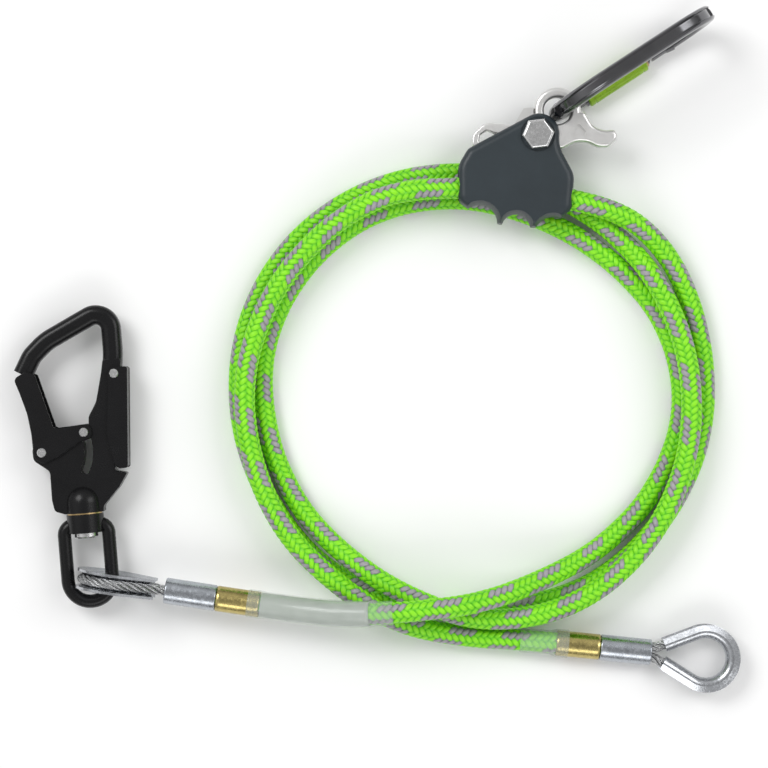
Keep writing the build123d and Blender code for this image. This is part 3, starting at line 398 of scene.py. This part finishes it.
def carrier(number, way):
    """One yarn of the braid. way is 1 for a right-hand helix and -1 for a left-hand one."""
    turn = 2 * math.pi * line_at / LEAD
    angle = 2 * math.pi * number / CARRIERS + way * turn
    crossing = number + way * 2 * CARRIERS * line_at / LEAD + number
    lift = way * np.cos(2 * math.pi * (crossing - 0.5) / 4)
    lift = np.sign(lift) * np.abs(lift) ** 0.75
    radius = BRAID_R + BRAID_WAVE * lift
    outward = line_side * np.cos(angle)[:, None] + line_other * np.sin(angle)[:, None]
    middle = line_points + outward * radius[:, None]
    along = unit(np.gradient(middle, axis=0))
    across = unit(np.cross(along, outward))
    up = np.cross(across, along)
    phi = np.linspace(0, 2 * math.pi, YARN_SIDES, endpoint=False)
    half_w = YARN_HALF_W * (1 + 0.08 * lift)
    ring = (across[:, None, :] * (np.cos(phi)[None, :] * half_w[:, None])[:, :, None]
            + up[:, None, :] * (np.sin(phi) * YARN_HALF_T)[None, :, None])
    skin_points = middle[:, None, :] + ring
    # Each skin point's height over the rope, 0 low in the gaps and 1 at the rope's surface; the yarn colour paints
    # shade and highlight from it.
    reach = np.linalg.norm(skin_points - line_points[:, None, :], axis=2)
    relief = np.clip((reach - FULL_SHADE_REACH) / (ROPE_D / 2 - FULL_SHADE_REACH), 0, 1)
    return skin_points, line_at * 1.5 + number * 0.37, relief


TRACERS = (0, 1, 2, 3)
braid_right = piece(grid_mesh("braid_green_right", [carrier(n, 1) for n in range(CARRIERS)]), green_yarn)
braid_left = piece(grid_mesh("braid_green_left", [carrier(n, -1) for n in range(CARRIERS) if n not in TRACERS]),
                   green_yarn)
braid_tracer = piece(grid_mesh("braid_tracer", [carrier(n, -1) for n in TRACERS]), tracer_yarn)


def skin(name, first, profile, wall, mat, replaced, count=40):
    """A sleeve round the rope. profile is (distance from the sleeve's start, outer radius), in metres."""
    starts = np.array([p[0] for p in profile])
    outer = np.array([p[1] for p in profile])
    at = first + np.unique(np.concatenate([starts, np.arange(0, starts[-1], 2.0 * MM)]))
    spots = np.stack([np.interp(at, line_at, line_points[:, k]) for k in range(3)], axis=1)
    t = unit(np.stack([np.interp(at, line_at, line_tangent[:, k]) for k in range(3)], axis=1))
    a = unit(np.stack([np.interp(at, line_at, line_side[:, k]) for k in range(3)], axis=1))
    b = np.cross(t, a)
    radius = np.interp(at - first, starts, outer)
    out_wall = tube(spots, t, a, b, radius, count)
    in_wall = tube(spots, t, a, b, radius - wall, count)[::-1]
    loop = np.concatenate([out_wall, in_wall, out_wall[:1]])
    length = np.concatenate([at, at[::-1], at[:1]]) - first
    return piece(grid_mesh(name, [(loop, length)]), mat, replaced=replaced)


BRASS_R = 7.6 * MM
BRASS_LENGTH = 26.0 * MM
BRASS_WALL = 0.95 * MM
BRASS_EDGE = 0.4 * MM
BRASS_PROFILE = [(0, BRASS_R - BRASS_EDGE), (BRASS_EDGE, BRASS_R), (BRASS_LENGTH - BRASS_EDGE, BRASS_R),
                 (BRASS_LENGTH, BRASS_R - BRASS_EDGE)]
GAP = 0.3 * MM
brass_left = skin("brass_sleeve_left", GAP, BRASS_PROFILE, BRASS_WALL, brass, ["crimp_sleeve_left"])
brass_right = skin("brass_sleeve_right", line_length - GAP - BRASS_LENGTH, BRASS_PROFILE, BRASS_WALL, brass,
                   ["crimp_sleeve_right"])
LABEL_R = 7.25 * MM
LABEL_LENGTH = 66.0 * MM
LABEL_WALL = 0.6 * MM
LABEL_GAP = 1.0 * MM
label = skin("label_wrap", BRASS_LENGTH + LABEL_GAP, [(0, LABEL_R), (LABEL_LENGTH, LABEL_R)], LABEL_WALL,
             label_film, ["label_sleeve"])
SHRINK_START = 19.0 * MM
SHRINK_WALL = 0.5 * MM
SHRINK_RIGHT_LENGTH = 29.0 * MM
SHRINK_R = 8.45 * MM
ON_ROPE_R = 7.95 * MM
ON_BARE_R = 7.35 * MM
shrink_left = skin("clear_shrink_left", SHRINK_START,
                   [(0, SHRINK_R - 0.3 * MM), (0.5 * MM, SHRINK_R), (7.0 * MM, SHRINK_R), (11 * MM, ON_ROPE_R + 0.1 * MM),
                    (74 * MM, ON_ROPE_R + 0.1 * MM), (78 * MM, ON_BARE_R), (88 * MM, ON_BARE_R)], SHRINK_WALL,
                   clear_shrink, ["heat_shrink_left"])
shrink_right = skin("clear_shrink_right", line_length - SHRINK_START - SHRINK_RIGHT_LENGTH,
                    [(0, ON_BARE_R), (18 * MM, ON_BARE_R), (22 * MM, SHRINK_R), (28.5 * MM, SHRINK_R),
                     (SHRINK_RIGHT_LENGTH, SHRINK_R - 0.3 * MM)], SHRINK_WALL,
                    clear_shrink, ["heat_shrink_right"])

# ---------------------------------------------------------------- wire eyes
SWAGE_LENGTH = 30.5 * MM
BEND_R = 16.5 * MM
LEG_GAP = 3.05 * MM
EYE_FOOT = SWAGE_LENGTH + 2.0 * MM
THIMBLE_REACH = 33.0 * MM
BEND_X = SWAGE_LENGTH + THIMBLE_REACH
BEND_STEPS = 41


def wire_line(origin, along, up):
    """The wire's centreline from one leg round the eye to the other."""
    reach = math.hypot(BEND_X - EYE_FOOT, LEG_GAP)
    lean = math.asin(BEND_R / reach) - math.atan2(LEG_GAP, BEND_X - EYE_FOOT)
    run = math.sqrt(reach ** 2 - BEND_R ** 2)
    touch = np.array([EYE_FOOT + run * math.cos(lean), LEG_GAP + run * math.sin(lean)])
    flat = [(EYE_FOOT - 8 * MM, LEG_GAP), (EYE_FOOT - 1.5 * MM, LEG_GAP), (EYE_FOOT + 1.5 * MM, LEG_GAP + 0.35 * MM)]
    flat += [tuple(touch * k + np.array([EYE_FOOT, LEG_GAP]) * (1 - k)) for k in (0.35, 0.7)]
    swing = math.atan2(touch[1], touch[0] - BEND_X)
    flat += [(BEND_X + BEND_R * math.cos(a), BEND_R * math.sin(a)) for a in np.linspace(swing, -swing, BEND_STEPS)]
    flat += [(x, -y) for x, y in flat[4::-1]]
    flat = np.array(flat)
    return origin + flat[:, :1] * along + flat[:, 1:] * up


STRAND_R = 0.98 * MM
STRAND_AT = 2.0 * MM
WIRE_LAY = 34.0 * MM
FILAMENT_R = 0.34 * MM
FILAMENT_LAY = 11.0 * MM
WIRE_STEP = 0.9 * MM
STRANDS = 6                         # round the core strand, and wires round each strand's middle


def wire_rope(name, origin, along, up, replaced):
    """Six strands round a core strand, each strand of six wires round one."""
    points, at = resample(wire_line(np.array(origin) * MM, np.array(along), np.array(up)), WIRE_STEP)
    tangent, side, other = frames_along(points, np.cross(along, up))
    tubes = []
    for strand in range(STRANDS + 1):
        angle = 2 * math.pi * strand / STRANDS + 2 * math.pi * at / WIRE_LAY
        out = side * np.cos(angle)[:, None] + other * np.sin(angle)[:, None]
        middle = points + out * (STRAND_AT if strand < STRANDS else 0.0)
        t = unit(np.gradient(middle, axis=0))
        a = unit(out - t * np.sum(out * t, axis=1, keepdims=True))
        b = np.cross(t, a)
        tubes.append((tube(middle, t, a, b, np.full(len(at), STRAND_R - FILAMENT_R), 6), at))
        for wire in range(STRANDS if strand < STRANDS else 0):
            spin = 2 * math.pi * wire / STRANDS - 2 * math.pi * at / FILAMENT_LAY
            off = a * np.cos(spin)[:, None] + b * np.sin(spin)[:, None]
            filament = middle + off * (STRAND_R - FILAMENT_R)
            ft = unit(np.gradient(filament, axis=0))
            fa = unit(off - ft * np.sum(off * ft, axis=1, keepdims=True))
            tubes.append((tube(filament, ft, fa, np.cross(ft, fa), np.full(len(at), FILAMENT_R), 5), at))
    return piece(grid_mesh(name, tubes), wire_metal, replaced=replaced)


wire_left = wire_rope("wire_rope_left", (-86.75004, -170.92122, 20.3), (-0.98856, 0.150828, 0.0), (0.0, 0.0, 1.0),
                      ["wire_eye_left"])
wire_right = wire_rope("wire_rope_right", (141.67819, -201.05261, 8.8), (0.994759, -0.10225, 0.0),
                       (0.10225, 0.994759, 0.0), ["wire_eye_right"])

# ---------------------------------------------------------------- floor and light
floor_mesh = bpy.data.meshes.new("floor")
FLOOR = 3.0
floor_mesh.from_pydata([(-FLOOR, -FLOOR, 0), (FLOOR, -FLOOR, 0), (FLOOR, FLOOR, 0), (-FLOOR, FLOOR, 0)], [],
                       [(0, 1, 2, 3)])
floor = link(bpy.data.objects.new("floor", floor_mesh))
floor_mat, floor_tree, floor_shader = material("floor")
floor_place = add(floor_tree, "ShaderNodeTexCoord")
floor_noise = add(floor_tree, "ShaderNodeTexNoise", Scale=2.0, Detail=2.0)
floor_tree.links.new(floor_place.outputs["Object"], floor_noise.inputs["Vector"])
floor_tint = ramp(floor_tree, floor_noise.outputs["Fac"], [(0.3, grey(0.90)), (0.7, grey(0.92))])
floor_tree.links.new(floor_tint, floor_shader.inputs["Base Color"])
floor_shader.inputs["Roughness"].default_value = 0.9
floor_shader.inputs["Specular IOR Level"].default_value = 0.1
floor.data.materials.append(floor_mat)

world = bpy.data.worlds.new("studio")
bpy.context.scene.world = world
world.use_nodes = True
sky = world.node_tree.nodes["Background"]
sky_place = add(world.node_tree, "ShaderNodeTexCoord")
sky_split = add(world.node_tree, "ShaderNodeSeparateXYZ")
world.node_tree.links.new(sky_place.outputs["Generated"], sky_split.inputs["Vector"])
sky_tone = ramp(world.node_tree, sky_split.outputs["Z"], [(0.0, grey(0.30)), (0.3, grey(0.60)), (0.62, grey(1.0)),
                                                          (0.88, grey(0.72)), (1.0, grey(0.50))])
world.node_tree.links.new(sky_tone, sky.inputs["Color"])
sky.inputs["Strength"].default_value = 0.75


def softbox(name, place, aim, size, power):
    data = bpy.data.lights.new(name, "AREA")
    data.shape = "RECTANGLE"
    data.size, data.size_y = size
    data.energy = power
    lamp = link(bpy.data.objects.new(name, data))
    lamp.location = place
    lamp.rotation_euler = (Vector(aim) - Vector(place)).to_track_quat("-Z", "Y").to_euler()


softbox("key", (-1.1, 0.9, 1.7), (0, 0, 0), (1.0, 1.0), 21.0)
softbox("fill", (1.3, 0.5, 1.4), (0, 0, 0), (0.9, 1.2), 10.0)
softbox("front", (0.1, -1.5, 1.2), (0, 0, 0), (1.6, 0.7), 7.0)
